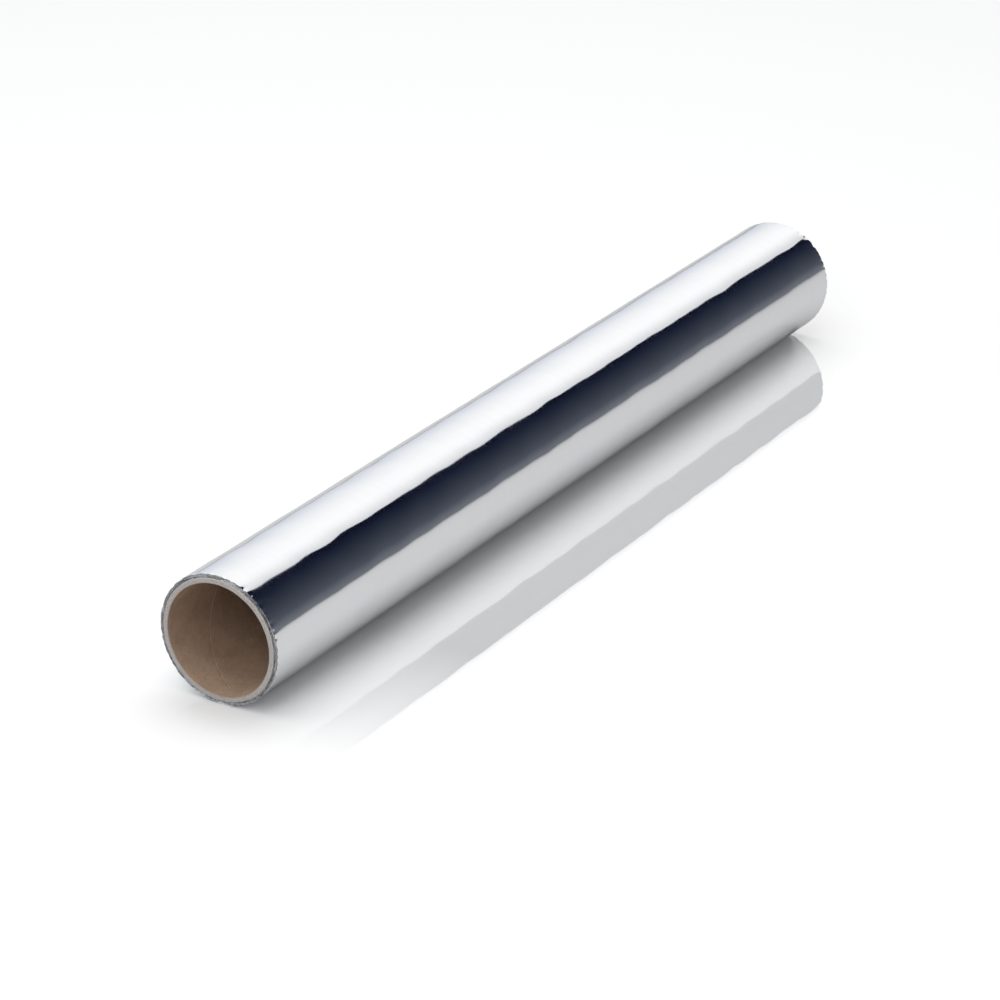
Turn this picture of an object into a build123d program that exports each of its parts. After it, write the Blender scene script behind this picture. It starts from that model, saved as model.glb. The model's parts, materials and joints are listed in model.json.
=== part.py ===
"""Household aluminium foil roll: a web of thin foil wound on a spiral-wound board core.

The roll lies on its side with its axis along X, on the plane Z = 0. All sizes are in millimetres.
The foil's turns are one solid. Its outline is a two-centre spiral that ends in the step of the
web's free edge, and the outer laps are pressed flat where the roll rests.
"""

from build123d import *
import math
import os

# Driving dimensions
web_width = 300.0  # width of the foil web, along the roll's axis
core_bore = 30.0  # inside diameter of the core
core_wall = 1.4  # thickness of the core's board
core_overhang = 0.4  # how far the core stands out of the foil at each end
core_edge_round = 0.2  # softened edges of the cut board
foil_build = 1.1  # radial thickness of all the foil turns together
lap_step = 0.06  # height of the step at the web's free edge, with the slack of the last lap
tail_angle = -32.0  # where the free edge lies, in degrees about the axis, from +Y towards +Z
rest_flat = 4.0  # width of the flat where the outer laps rest on the surface

# Sizes that follow
bore_radius = core_bore / 2
core_radius = bore_radius + core_wall
core_length = web_width + 2 * core_overhang
roll_radius = core_radius + foil_build
under_lap_radius = roll_radius - lap_step  # the turn below the free edge, which meets the surface
axis_height = math.sqrt(under_lap_radius**2 - (rest_flat / 2) ** 2)


def axis_plane(x, turn=0.0):
    """A sketch plane across the roll's axis at x, facing +X, with its x direction at turn degrees from +Y."""
    direction = (0, math.cos(math.radians(turn)), math.sin(math.radians(turn)))
    return Plane(origin=(x, 0, axis_height), x_dir=direction, z_dir=(1, 0, 0))


# The core: a plain tube of board, with its cut edges softened
with BuildPart() as core_tube:
    with BuildSketch(axis_plane(-core_length / 2)):
        Circle(core_radius)
        Circle(bore_radius, mode=Mode.SUBTRACT)
    extrude(amount=core_length)
    fillet(core_tube.edges().filter_by(GeomType.CIRCLE), core_edge_round)
core_tube.part.label = "core_tube"

# The foil: two half-turn arcs whose centres are half a step apart make the last turn of the spiral,
# and the line between their ends is the web's free edge
with BuildPart() as foil_roll:
    with BuildSketch(axis_plane(-web_width / 2, tail_angle)):
        with BuildLine():
            outer_half = CenterArc((lap_step / 4, 0), roll_radius - lap_step / 4, 0, 180)
            inner_half = CenterArc((-lap_step / 4, 0), roll_radius - 3 * lap_step / 4, 180, 180)
            Line(inner_half @ 1, outer_half @ 0)
        make_face()
        Circle(core_radius, mode=Mode.SUBTRACT)
    extrude(amount=web_width)
    # The surface that the roll lies on trims the outer laps to the flat
    split(bisect_by=Plane.XY, keep=Keep.TOP)
foil_roll.part.label = "foil_roll"

os.makedirs("parts", exist_ok=True)
for piece in (core_tube, foil_roll):
    export_step(piece.part, f"parts/{piece.part.label}.step")
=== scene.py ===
"""Looks of the aluminium foil roll: bright foil with its laps showing at the ends, on a brown spiral-wound board core.

Everything is in metres in the row frame. The roll lies along X on the floor, Z = 0.
Both pieces are closed grids: rows run along one side, down an end, back along the other side and up
the other end, and columns run round the axis.
"""

import json
import math

import bpy
import numpy as np
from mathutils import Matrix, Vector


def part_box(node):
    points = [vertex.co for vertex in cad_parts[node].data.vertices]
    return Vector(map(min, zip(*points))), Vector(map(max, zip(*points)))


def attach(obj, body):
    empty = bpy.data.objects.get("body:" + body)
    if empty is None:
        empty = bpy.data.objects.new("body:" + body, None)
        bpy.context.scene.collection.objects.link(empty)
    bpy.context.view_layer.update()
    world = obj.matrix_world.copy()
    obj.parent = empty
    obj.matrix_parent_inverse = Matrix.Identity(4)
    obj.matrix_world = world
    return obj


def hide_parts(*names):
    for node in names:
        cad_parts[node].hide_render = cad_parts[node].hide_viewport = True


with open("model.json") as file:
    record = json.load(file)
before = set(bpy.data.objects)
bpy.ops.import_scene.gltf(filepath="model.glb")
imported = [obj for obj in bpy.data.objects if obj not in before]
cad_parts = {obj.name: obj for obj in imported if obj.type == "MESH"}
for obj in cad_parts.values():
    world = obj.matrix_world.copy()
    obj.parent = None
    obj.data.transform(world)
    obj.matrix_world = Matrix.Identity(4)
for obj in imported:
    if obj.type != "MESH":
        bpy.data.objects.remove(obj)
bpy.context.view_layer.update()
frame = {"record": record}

MM = 0.001

# ---------------------------------------------------------------- sizes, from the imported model

mounts = {m["name"]: m for m in frame["record"]["mounts"]}
foil_low, foil_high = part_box("foil_roll")
core_low, core_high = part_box("core_tube")

axis_z = mounts["core_bore"]["pos_m"][2]
bore_r = mounts["core_bore"]["dims"]["r_mm"] * MM
core_r = (core_high.z - core_low.z) / 2
roll_r = max(foil_high.y, -foil_low.y)
foil_half = foil_high.x
core_half = core_high.x
lap_step = 0.06 * MM  # the step at the web's free edge
tail_angle = math.radians(-32)  # where the free edge lies, from +Y towards +Z

board_plies = 4
core_edge_round = 0.2 * MM
# the board's outside stays this far clear of the foil
board_clearance = 0.01 * MM


# ---------------------------------------------------------------- helpers

def smooth(low, high, v):
    """0 below low, 1 above high, and an even slope between."""
    t = np.clip((v - low) / (high - low), 0, 1)
    return t * t * (3 - 2 * t)


def waves(count, turns, lengths, seed):
    """A wavy field over angle and x that joins up round the axis.

    Each wave is (turns, rate along x, phase, height), drawn from the seed.
    """
    r = np.random.default_rng(seed)
    found = []
    for _ in range(count):
        m = int(r.integers(turns[0], turns[1] + 1))
        length = math.exp(r.uniform(math.log(lengths[0]), math.log(lengths[1])))
        found.append((m, r.choice((-1, 1)) * 2 * math.pi / length, r.uniform(0, 2 * math.pi), r.normal()))
    scale = 1 / math.sqrt(sum(w[3] ** 2 for w in found) / 2)

    def field(angle, x):
        return scale * sum(h * np.sin(m * angle + k * x + p) for m, k, p, h in found)

    return field


def spaced(half, fine, coarse_count):
    """Places along X from -half to half: the fine steps in from each end, then even ones."""
    inner = np.linspace(-half + fine[-1], half - fine[-1], coarse_count)
    left = -half + np.array(fine[:-1])
    return np.concatenate([left, inner, -left[::-1]])


def closed_grid(name, rows, materials, material_rows, sharp_degrees=40):
    """A closed mesh from rows of points round the axis, each an array (columns, 3).

    The last row joins the first.
    """
    points = np.stack(rows)
    n, c = points.shape[:2]
    i, j = np.meshgrid(np.arange(n), np.arange(c), indexing="ij")
    i2, j2 = (i + 1) % n, (j + 1) % c
    quads = np.stack([i * c + j, i * c + j2, i2 * c + j2, i2 * c + j], -1).reshape(-1, 4)
    mesh = bpy.data.meshes.new(name)
    mesh.from_pydata(points.reshape(-1, 3).tolist(), [], quads.tolist())
    for m in materials:
        mesh.materials.append(m)
    mesh.polygons.foreach_set("material_index", np.repeat(np.array(material_rows, np.int32), c))
    mesh.update()
    mesh.shade_smooth()
    mesh.set_sharp_from_angle(angle=math.radians(sharp_degrees))
    ob = bpy.data.objects.new(name, mesh)
    bpy.context.scene.collection.objects.link(ob)
    return ob


def ring(x, radius, angle):
    """Points at x (a number or one per column), at a radius from the roll's axis."""
    return np.stack([np.broadcast_to(x, angle.shape), radius * np.cos(angle), axis_z + radius * np.sin(angle)], -1)


class Nodes:
    """Short calls for building a node tree."""

    def __init__(self, tree):
        self.tree = tree
        tree.nodes.clear()

    def add(self, kind, inputs=None, **settings):
        node = self.tree.nodes.new(kind)
        for key, value in settings.items():
            setattr(node, key, value)
        for key, value in (inputs or {}).items():
            self.put(node.inputs[key], value)
        return node

    def put(self, socket, value):
        if isinstance(value, bpy.types.NodeSocket):
            self.tree.links.new(value, socket)
        elif isinstance(value, bpy.types.Node):
            self.tree.links.new(value.outputs[0], socket)
        else:
            socket.default_value = value

    def math(self, operation, a, b=0.0, c=0.0):
        return self.add("ShaderNodeMath", {0: a, 1: b, 2: c}, operation=operation).outputs[0]

    def vector(self, x, y, z=0.0):
        return self.add("ShaderNodeCombineXYZ", {0: x, 1: y, 2: z}).outputs[0]

    def noise(self, vector, scale, detail=2.0, roughness=0.5):
        inputs = {"Vector": vector, "Scale": scale, "Detail": detail, "Roughness": roughness}
        return self.add("ShaderNodeTexNoise", inputs).outputs[0]

    def ramp(self, value, stops):
        node = self.add("ShaderNodeValToRGB", {0: value})
        ramp = node.color_ramp
        while len(ramp.elements) < len(stops):
            ramp.elements.new(1.0)
        for element, (place, colour) in zip(ramp.elements, stops):
            element.position = place
            element.color = (*colour, 1) if hasattr(colour, "__len__") else (colour, colour, colour, 1)
        return node.outputs[0]

    def mix(self, factor, a, b):
        node = self.add("ShaderNodeMix", data_type="RGBA")
        self.put(node.inputs[0], factor)
        self.put(node.inputs[6], a)
        self.put(node.inputs[7], b)
        return node.outputs[2]

    def span(self, value, low, high, to_low=0.0, to_high=1.0):
        return self.add("ShaderNodeMapRange", {0: value, 1: low, 2: high, 3: to_low, 4: to_high}).outputs[0]

    def bump(self, height, distance, strength=1.0):
        inputs = {"Strength": strength, "Distance": distance, "Height": height}
        return self.add("ShaderNodeBump", inputs).outputs[0]


def round_axis(n):
    """(x, distance round the axis, distance from the axis, angle, place), from the object's own coordinates.

    The angle's join is at the web's free edge.
    """
    place = n.add("ShaderNodeTexCoord").outputs["Object"]
    x, y, z = n.add("ShaderNodeSeparateXYZ", {0: place}).outputs
    z = n.math("SUBTRACT", z, axis_z)
    c, s = math.cos(tail_angle + math.pi), math.sin(tail_angle + math.pi)
    u = n.math("ADD", n.math("MULTIPLY", y, c), n.math("MULTIPLY", z, s))
    v = n.math("SUBTRACT", n.math("MULTIPLY", z, c), n.math("MULTIPLY", y, s))
    angle = n.math("ARCTAN2", v, u)
    radius = n.math("SQRT", n.math("ADD", n.math("MULTIPLY", y, y), n.math("MULTIPLY", z, z)))
    return x, n.math("MULTIPLY", angle, roll_r), radius, angle, place


def new_material(name):
    material = bpy.data.materials.new(name)
    material.use_nodes = True
    return material, Nodes(material.node_tree)


# ---------------------------------------------------------------- materials

def make_foil():
    """Bright rolled foil: nearly a mirror, with fine rolling lines round the roll and faint hazy patches."""
    material, n = new_material("foil_bright")
    x, along, _, _, place = round_axis(n)
    fine = n.vector(n.math("MULTIPLY", x, 2600.0), n.math("MULTIPLY", along, 14.0))
    lines = n.noise(fine, 1.0, 3.0, 0.65)
    broad = n.vector(n.math("MULTIPLY", x, 420.0), n.math("MULTIPLY", along, 9.0))
    soft_lines = n.noise(broad, 1.0, 2.0, 0.5)
    haze = n.noise(place, 38.0, 2.0, 0.55)
    roughness = n.math("ADD", n.span(haze, 0.3, 0.7, 0.045, 0.085), n.span(soft_lines, 0.3, 0.7, 0.0, 0.02))
    colour = n.mix(n.span(soft_lines, 0.25, 0.75), (0.93, 0.937, 0.95, 1), (0.955, 0.96, 0.968, 1))
    height = n.math("ADD", n.math("MULTIPLY", lines, 0.35), soft_lines)
    shader = n.add(
        "ShaderNodeBsdfPrincipled",
        {"Base Color": colour, "Metallic": 1.0, "Roughness": roughness, "Normal": n.bump(height, 0.01 * MM, 0.5)},
    )
    n.add("ShaderNodeOutputMaterial", {0: shader})
    return material


def make_foil_edge():
    """The cut edges of the laps: fine grey and bright lines that follow the winding, with painted shade in the gaps
    between the laps.
    """
    material, n = new_material("foil_laps_gap_shade")
    _, _, radius, angle, _ = round_axis(n)
    winding = n.vector(n.math("MULTIPLY", radius, 9000.0), n.math("MULTIPLY", angle, 5.0))
    laps = n.noise(winding, 1.0, 3.0, 0.6)
    glints = n.noise(n.vector(n.math("MULTIPLY", radius, 2400.0), n.math("MULTIPLY", angle, 22.0)), 1.0, 2.0, 0.5)
    # painted shade: the darkest stop stands in for the shade in the gaps between laps; the grey and bright stops are
    # the foil's own colour
    colour = n.ramp(laps, [(0.30, (0.10, 0.10, 0.105)), (0.46, (0.42, 0.42, 0.43)), (0.62, (0.80, 0.80, 0.81))])
    roughness = n.span(glints, 0.35, 0.65, 0.38, 0.14)
    height = n.math("ADD", laps, n.math("MULTIPLY", glints, 0.6))
    shader = n.add(
        "ShaderNodeBsdfPrincipled",
        {"Base Color": colour, "Metallic": 1.0, "Roughness": roughness, "Normal": n.bump(height, 0.05 * MM, 0.8)},
    )
    n.add("ShaderNodeOutputMaterial", {0: shader})
    return material


def make_bore():
    """Brown kraft board: mottled, with fibres that lie along the wound strip."""
    material, n = new_material("board_kraft")
    x, along, _, _, place = round_axis(n)
    # the strip's own directions: across and along the winding
    cos_slope, sin_slope = math.cos(strip_slope), math.sin(strip_slope)
    across = n.math("ADD", n.math("MULTIPLY", x, cos_slope), n.math("MULTIPLY", along, -sin_slope))
    length = n.math("ADD", n.math("MULTIPLY", x, sin_slope), n.math("MULTIPLY", along, cos_slope))
    fibre = n.noise(n.vector(n.math("MULTIPLY", across, 2800.0), n.math("MULTIPLY", length, 420.0)), 1.0, 3.0, 0.6)
    speck = n.noise(place, 1500.0, 2.0, 0.6)
    mottle = n.noise(place, 170.0, 3.0, 0.6)
    kraft = n.ramp(mottle, [(0.25, (0.40, 0.275, 0.195)), (0.5, (0.46, 0.325, 0.235)), (0.75, (0.52, 0.375, 0.28))])
    kraft = n.mix(n.span(fibre, 0.52, 0.72, 0.0, 0.35), kraft, (0.66, 0.50, 0.38, 1))
    kraft = n.mix(n.span(speck, 0.60, 0.72, 0.0, 0.45), kraft, (0.24, 0.15, 0.10, 1))
    height = n.math("ADD", fibre, n.math("MULTIPLY", speck, 0.5))
    shader = n.add(
        "ShaderNodeBsdfPrincipled",
        {
            "Base Color": kraft,
            "Roughness": n.span(fibre, 0.3, 0.7, 0.92, 0.78),
            "Specular IOR Level": 0.25,
            "Normal": n.bump(height, 0.06 * MM, 0.6),
        },
    )
    n.add("ShaderNodeOutputMaterial", {0: shader})
    return material


def make_cut_board():
    """The core's cut end: pale grey board, its plies parted by thin darker glue lines, with short torn fibres."""
    material, n = new_material("board_cut")
    _, _, radius, angle, place = round_axis(n)
    depth = n.math("DIVIDE", n.math("SUBTRACT", radius, bore_r), core_r - bore_r)
    wander = n.noise(n.vector(n.math("MULTIPLY", angle, 2.0), 0.0), 1.0, 2.0)
    ply_place = n.math("ADD", depth, n.math("MULTIPLY", wander, 0.12))
    plies = n.math("SINE", n.math("MULTIPLY", ply_place, 2 * math.pi * board_plies))
    fibre = n.noise(place, 2600.0, 3.0, 0.65)
    patch = n.noise(place, 420.0, 2.0, 0.6)
    board = n.ramp(fibre, [(0.3, (0.40, 0.375, 0.355)), (0.55, (0.56, 0.54, 0.525)), (0.75, (0.68, 0.665, 0.65))])
    board = n.mix(n.span(plies, 0.70, 1.0, 0.0, 0.45), board, (0.30, 0.255, 0.22, 1))
    board = n.mix(n.span(patch, 0.55, 0.75, 0.0, 0.35), board, (0.40, 0.33, 0.275, 1))
    # the brown inner ply
    board = n.mix(n.span(depth, 0.02, 0.22, 0.85, 0.0), board, (0.40, 0.285, 0.21, 1))
    height = n.math("ADD", fibre, n.math("MULTIPLY", plies, 0.15))
    shader = n.add(
        "ShaderNodeBsdfPrincipled",
        {
            "Base Color": board,
            "Roughness": 0.95,
            "Specular IOR Level": 0.2,
            "Normal": n.bump(height, 0.08 * MM, 0.7),
        },
    )
    n.add("ShaderNodeOutputMaterial", {0: shader})
    return material


# ---------------------------------------------------------------- the foil

FINE = [v * MM for v in (0, 0.12, 0.28, 0.5, 0.8, 1.2, 1.7, 2.4, 3.3)]


def turn_columns(count):
    """Angles round from the free edge, 0 to 360 degrees, closer together beside it."""
    near = np.radians([0, 0.25, 0.6, 1.1, 1.8, 2.7, 3.9, 5.5, 7.5])
    middle = np.linspace(near[-1], 2 * math.pi - near[-1], count - 2 * (len(near) - 1))
    last = 2 * math.pi - near[:-1][::-1]
    last[-1] -= 0.0004  # short of the first column, so that the two never meet
    return np.concatenate([near[:-1], middle, last])


def spiral_radius(turn):
    """The foil's outline as in CAD: two half turns whose centres are half a step apart."""
    s = lap_step
    first = (s / 4) * np.cos(turn) + (roll_r - s / 4)
    second = -(s / 4) * np.cos(turn) + (roll_r - 3 * s / 4)
    return np.where(turn <= math.pi, first, second)


def make_foil_roll():
    turn = turn_columns(300)
    xs = spaced(foil_half, FINE, 196)
    swell = waves(26, (2, 7), (14 * MM, 70 * MM), 11)
    ripple = waves(40, (7, 16), (6 * MM, 22 * MM), 12)
    nicks = waves(60, (14, 60), (1e3, 1e4), 13)
    lip = waves(14, (0, 0), (7 * MM, 60 * MM), 14)

    def outline(x, end_gap):
        """The outer side's radius and angles at x. end_gap is how far x is from the roll's end."""
        beside_edge = np.minimum(turn, 2 * math.pi - turn)
        wander = 0.004 * lip(0.0, np.full_like(turn, x)) * np.exp(-((beside_edge / 0.12) ** 2))
        angle = tail_angle + turn + wander
        r = spiral_radius(turn)
        sunk = np.clip(0.05 + 0.020 * swell(angle, x) + 0.0035 * ripple(angle, x), 0.0, 0.2) * MM
        # the outer lap's edge is a little crumpled
        crumple = np.exp(-end_gap / (0.7 * MM))
        sunk = sunk + crumple * np.clip(0.06 + 0.07 * nicks(angle, x), 0, 0.22) * MM
        # the free edge lifts off here and there
        lift = (0.05 + 0.05 * np.clip(lip(1.0, np.full_like(turn, x)), 0, 2)) * MM
        sunk = np.where(turn < math.pi, sunk - lift * np.exp(-((turn / 0.035) ** 2)), sunk)
        # pressed down where the roll rests
        down = np.sin(angle)
        floor_r = np.where(down < -0.5, axis_z / -np.minimum(down, -0.5), 1.0)
        flat = smooth(0.6 * MM, 0.0, floor_r - r)
        return angle, np.minimum(r - sunk * (1 - flat), floor_r)

    laps = waves(30, (0, 9), (0.10 * MM, 0.45 * MM), 15)
    creases = waves(50, (6, 70), (0.25 * MM, 2.0 * MM), 16)

    def end_rows(sign, seed):
        """Rows down an end face, from the outer edge to the core. Each lap ends a little in or out."""
        x_end = sign * foil_half
        angle, outer = outline(x_end, 0.0)
        rows = []
        inner = core_r
        for q in np.linspace(0, 1, 23)[1:-1]:
            r = outer + (inner - outer) * q
            depth = 0.10 + 0.055 * laps(angle, r + seed) + 0.035 * creases(angle, r + 2 * seed)
            shift = depth * math.sin(math.pi * min(q * 3, 1) / 2)
            rows.append(ring(x_end - sign * np.clip(shift, 0, 0.3) * MM, r, angle))
        return rows

    rows, finish = [], []
    for x in xs:
        gap = foil_half - abs(x)
        angle, r = outline(x, gap)
        # the outer edge itself wanders in from the end plane
        edge = np.clip(0.05 + 0.05 * nicks(angle + 1.0, x), 0, 0.16) * MM * np.exp(-gap / (0.5 * MM))
        rows.append(ring(x - math.copysign(1, x) * edge, r, angle))
        finish.append(0)
    far = end_rows(1, 0.013)
    finish[-1] = 1
    rows += far
    finish += [1] * len(far)
    inner_xs = np.linspace(foil_half, -foil_half, 6)
    for x in inner_xs:
        angle = outline(x, foil_half - abs(x))[0]
        rows.append(ring(x, np.full_like(angle, core_r), angle))
        finish.append(1)
    near = end_rows(-1, 0.029)
    rows += near[::-1]
    finish += [1] * len(near)
    return closed_grid("foil_web", rows, [make_foil(), make_foil_edge()], finish)


# ---------------------------------------------------------------- the core

# how far the inner ply's seam moves along X in a turn: five whole turns, so that both ends' columns line up
strip_pitch = 2 * core_half / 5
strip_slope = math.atan2(strip_pitch, 2 * math.pi * bore_r)


def make_core():
    # columns follow the seam, and lie closer together beside it
    beside = np.array([0, 0.10, 0.22, 0.45, 0.9, 1.6]) * MM / bore_r
    middle = np.linspace(beside[-1], 2 * math.pi - beside[-1], 214)
    turn = np.concatenate([beside[:-1], middle, 2 * math.pi - beside[1:-1][::-1]])
    from_seam = np.minimum(turn, 2 * math.pi - turn) * bore_r
    groove = np.exp(-((from_seam / (0.16 * MM)) ** 2))
    turned_up = np.exp(-(((from_seam - 0.5 * MM) / (0.35 * MM)) ** 2))
    cockle = waves(24, (1, 6), (18 * MM, 90 * MM), 21)
    fuzz = waves(60, (20, 90), (0.5 * MM, 3 * MM), 22)
    tear = waves(40, (10, 80), (0.15 * MM, 1.5 * MM), 23)

    def angles(x):
        return turn + 2 * math.pi * x / strip_pitch + 1.1

    def bore(x):
        angle = angles(x)
        out = 0.018 * cockle(angle, x) + 0.004 * fuzz(angle, x) + 0.16 * groove - 0.035 * turned_up
        return angle, bore_r + out * MM

    def end_rows(sign):
        """From the bore's edge to the outside, with both cut edges a little rounded and fibrous."""
        x_end = sign * core_half
        angle = angles(x_end)
        inner = bore(x_end)[1]
        rows = []
        for q in np.linspace(0, 1, 20):
            r = inner + (core_r - board_clearance - inner) * q
            into = np.minimum(r - inner, core_r - r) / core_edge_round
            drop = core_edge_round * (1 - np.sqrt(1 - np.clip(1 - into, 0, 1) ** 2))
            ply = 0.018 * np.cos(2 * math.pi * board_plies * q)
            rough = np.clip(0.03 + ply + 0.014 * tear(angle, r), 0, 0.12) * MM
            rows.append(ring(x_end - sign * (drop + rough), r, angle))
        return rows

    rows, finish = [], []
    side = spaced(core_half - core_edge_round, FINE, 150)
    for x in side:
        angle, r = bore(x)
        rows.append(ring(x, r, angle)[::-1])
        finish.append(0)
    far = [r[::-1] for r in end_rows(1)]
    rows += far
    finish += [1] * len(far)
    angle = angles(core_half)
    for x in np.linspace(core_half - core_edge_round, -core_half + core_edge_round, 12):
        rows.append(ring(x, np.full_like(angle, core_r - board_clearance), angle)[::-1])
        finish.append(1)
    near = [r[::-1] for r in end_rows(-1)][::-1]
    rows += near
    finish += [1] * len(near)
    return closed_grid("core_board", rows, [make_bore(), make_cut_board()], finish)


foil = make_foil_roll()
core = make_core()
for piece, node, slot in ((foil, "foil_roll", "foil"), (core, "core_tube", "board")):
    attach(piece, "root")
    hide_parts(node)


# ---------------------------------------------------------------- the studio

def make_floor():
    """A pale glossy sheet. It mirrors the roll, and less so towards the near end."""
    size = 6.0
    mesh = bpy.data.meshes.new("floor")
    corners = [(-size, -size, 0), (size, -size, 0), (size, size, 0), (-size, size, 0)]
    mesh.from_pydata(corners, [], [(0, 1, 2, 3)])
    material, n = new_material("floor_sheet")
    path = n.add("ShaderNodeLightPath").outputs
    x = n.add("ShaderNodeSeparateXYZ", {0: n.add("ShaderNodeTexCoord").outputs["Object"]}).outputs[0]
    colour = n.mix(path["Is Camera Ray"], (0.60, 0.60, 0.605, 1), (0.93, 0.93, 0.93, 1))
    sheet = n.add("ShaderNodeBsdfDiffuse", {"Color": colour})
    mirror = n.add("ShaderNodeBsdfGlossy", {"Color": (1, 1, 1, 1), "Roughness": 0.0})
    share = n.math("MULTIPLY", n.span(x, -0.165, -0.095, 0.0, 0.45), path["Is Camera Ray"])
    both = n.add("ShaderNodeMixShader", {0: share, 1: sheet, 2: mirror})
    # a little light of its own, so that the open floor reads as white
    own_light = n.math("MULTIPLY", path["Is Camera Ray"], 0.04)
    lift = n.add("ShaderNodeEmission", {"Color": (1, 1, 1, 1), "Strength": own_light})
    total = n.add("ShaderNodeAddShader", {0: both, 1: lift})
    n.add("ShaderNodeOutputMaterial", {0: total})
    mesh.materials.append(material)
    floor = bpy.data.objects.new("floor", mesh)
    bpy.context.scene.collection.objects.link(floor)


def make_panels():
    """The studio's walls and ceiling, which only the foil's own reflections show: a bright soft panel
    over and behind the roll, and dark in front, paler towards the floor."""
    radius, half, steps = 1.6, 4.5, 96
    mesh = bpy.data.meshes.new("studio_panels")
    turn = [math.pi * k / steps for k in range(steps + 1)]
    points = [(s * half, radius * math.cos(t), radius * math.sin(t)) for s in (-1, 1) for t in turn]
    count = steps + 1
    faces = [(k, k + 1, count + k + 1, count + k) for k in range(steps)]
    faces += [tuple(range(count)), tuple(range(2 * count - 1, count - 1, -1))]
    mesh.from_pydata(points, [], faces)
    material, n = new_material("studio_panel")
    place = n.add("ShaderNodeTexCoord").outputs["Object"]
    x, y, z = n.add("ShaderNodeSeparateXYZ", {0: place}).outputs
    turn_share = n.math("DIVIDE", n.math("ARCTAN2", z, y), math.pi)
    bright = n.ramp(
        turn_share,
        [
            (0.00, (0.64, 0.665, 0.725)),
            (0.03, (0.665, 0.69, 0.755)),
            (0.137, (0.815, 0.84, 0.88)),
            (0.206, (0.90, 0.915, 0.93)),
            (0.333, (1.01, 1.01, 1.01)),
            (0.42, (1.03, 1.03, 1.03)),
            (0.472, (0.98, 0.98, 0.985)),
            (0.56, (0.75, 0.755, 0.77)),
        ],
    )
    dark = n.ramp(
        turn_share,
        [
            (0.57, (0.003, 0.0045, 0.015)),
            (0.60, (0.004, 0.006, 0.018)),
            (0.68, (0.014, 0.019, 0.036)),
            (0.754, (0.028, 0.034, 0.051)),
            (0.831, (0.047, 0.053, 0.073)),
            (0.908, (0.072, 0.080, 0.105)),
            (0.968, (0.135, 0.147, 0.172)),
            (1.0, (0.16, 0.17, 0.19)),
        ],
    )
    # the bright panel's front edge
    edge = n.math("ADD", 0.548, n.math("MULTIPLY", n.math("ABSOLUTE", x), 0.0157))
    colour = n.mix(n.math("GREATER_THAN", turn_share, edge), bright, dark)
    light = n.add("ShaderNodeEmission", {"Color": colour, "Strength": 1.0})
    clear = n.add("ShaderNodeBsdfTransparent", {"Color": (1, 1, 1, 1)})
    # the floor's mirror shows the white background instead
    sharp = n.add("ShaderNodeLightPath").outputs["Is Singular Ray"]
    both = n.add("ShaderNodeMixShader", {0: sharp, 1: light, 2: clear})
    n.add("ShaderNodeOutputMaterial", {0: both})
    material.cycles.emission_sampling = "NONE"
    mesh.materials.append(material)
    panels = bpy.data.objects.new("studio_panels", mesh)
    bpy.context.scene.collection.objects.link(panels)
    panels.visible_camera = panels.visible_diffuse = panels.visible_transmission = False
    panels.visible_volume_scatter = panels.visible_shadow = False


def make_world():
    """White where it is seen, and an even soft light on everything else."""
    world = bpy.data.worlds.new("studio")
    bpy.context.scene.world = world
    world.use_nodes = True
    n = Nodes(world.node_tree)
    path = n.add("ShaderNodeLightPath").outputs
    reflected = n.math("MAXIMUM", path["Is Glossy Ray"], path["Is Transmission Ray"])
    seen = n.math("MAXIMUM", path["Is Camera Ray"], reflected)
    light = n.add("ShaderNodeBackground", {"Color": (0.97, 0.985, 1.0, 1), "Strength": 0.38})
    white = n.add("ShaderNodeBackground", {"Color": (1, 1, 1, 1), "Strength": 1.0})
    n.add("ShaderNodeOutputWorld", {0: n.add("ShaderNodeMixShader", {0: seen, 1: light, 2: white})})


def make_lamp(name, place, aim, size, power):
    lamp = bpy.data.lights.new(name, "AREA")
    lamp.shape = "RECTANGLE"
    lamp.size, lamp.size_y = size
    lamp.energy = power
    ob = bpy.data.objects.new(name, lamp)
    ob.location = place
    direction = np.array(aim) - np.array(place)
    flat = math.hypot(direction[0], direction[1])
    ob.rotation_euler = (math.atan2(flat, -direction[2]), 0, math.atan2(-direction[0], direction[1]))
    ob.visible_glossy = False  # the panels are what the foil mirrors
    ob.visible_camera = False
    bpy.context.scene.collection.objects.link(ob)


make_floor()
make_panels()
make_world()
make_lamp("soft_overhead", (0.0, 0.10, 1.0), (0, 0, 0), (1.4, 1.2), 9.0)
make_lamp("soft_left", (-0.95, -0.25, 0.75), (-0.15, 0, 0.02), (0.7, 0.7), 3.2)


# ---------------------------------------------------------------- the camera

camera_data = bpy.data.cameras.new("camera")
camera_data.lens = 126.32
camera_data.sensor_width = 36
camera_data.clip_start = 0.01
camera = bpy.data.objects.new("camera", camera_data)
camera.location = (-0.7732, -0.4539, 0.3925)
camera.rotation_euler = (math.radians(90 - 23.751), 0, math.radians(-59.028))
bpy.context.scene.collection.objects.link(camera)
bpy.context.scene.camera = camera
bpy.context.scene.view_settings.view_transform = "Standard"
